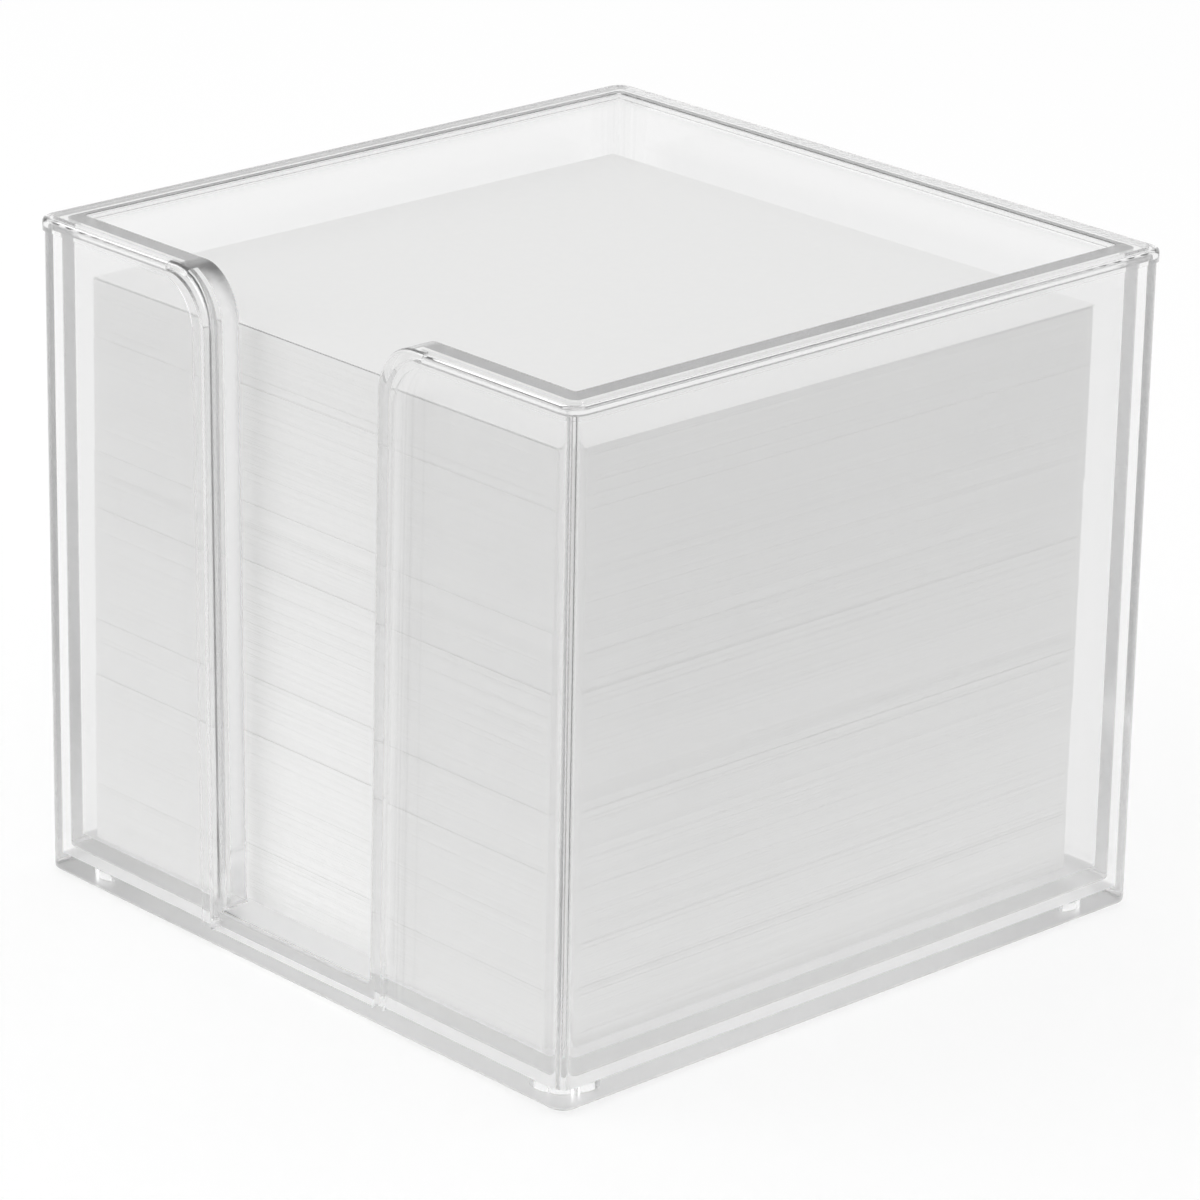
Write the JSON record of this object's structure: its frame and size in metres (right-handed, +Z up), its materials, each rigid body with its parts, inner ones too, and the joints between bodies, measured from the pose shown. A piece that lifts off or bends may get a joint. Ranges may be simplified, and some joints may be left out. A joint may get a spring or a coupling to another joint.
{
  "type": "memo box",
  "caption": "Clear double-walled cube box open at the top with a finger slot in the front, holding a loose stack of square white note sheets.",
  "frame": {"origin": "on the table under the middle of the box, at the undersides of the feet", "axes": "+Z up, +X along the slotted front face, -Y out of the slotted front face"},
  "size_m": [0.1044, 0.1044, 0.0928],
  "materials": {
    "clear_shell": "clear polished",
    "clear_liner": "clear polished",
    "clear_foot": "clear polished",
    "paper_stack": "matte uncoated",
    "paper_sheet": "matte uncoated"
  },
  "bodies": {
    "box": {"outer_shell": "clear_shell", "inner_shell": "clear_liner", "foot_front_left": "clear_foot", "foot_front_right": "clear_foot", "foot_back_left": "clear_foot", "foot_back_right": "clear_foot"},
    "sheet_stack": {"sheet_wad_01": "paper_stack", "sheet_wad_02": "paper_stack", "sheet_wad_03": "paper_stack", "sheet_wad_04": "paper_stack", "sheet_wad_05": "paper_stack", "sheet_wad_06": "paper_stack", "sheet_wad_07": "paper_stack", "sheet_wad_08": "paper_stack", "sheet_wad_09": "paper_stack", "sheet_wad_10": "paper_stack"},
    "second_sheet": {"second_sheet": "paper_sheet"},
    "top_sheet": {"top_sheet": "paper_sheet"}
  },
  "joints": [
    {"name": "stack_lift", "type": "slide", "parent": "box", "child": "sheet_stack", "axis": [0, 0, 1], "range_m": [0, 0.095]},
    {"name": "second_sheet_lift", "type": "slide", "parent": "sheet_stack", "child": "second_sheet", "axis": [0, 0, 1], "range_m": [0, 0.03]},
    {"name": "top_sheet_lift", "type": "slide", "parent": "second_sheet", "child": "top_sheet", "axis": [0, 0, 1], "range_m": [0, 0.03]}
  ]
}
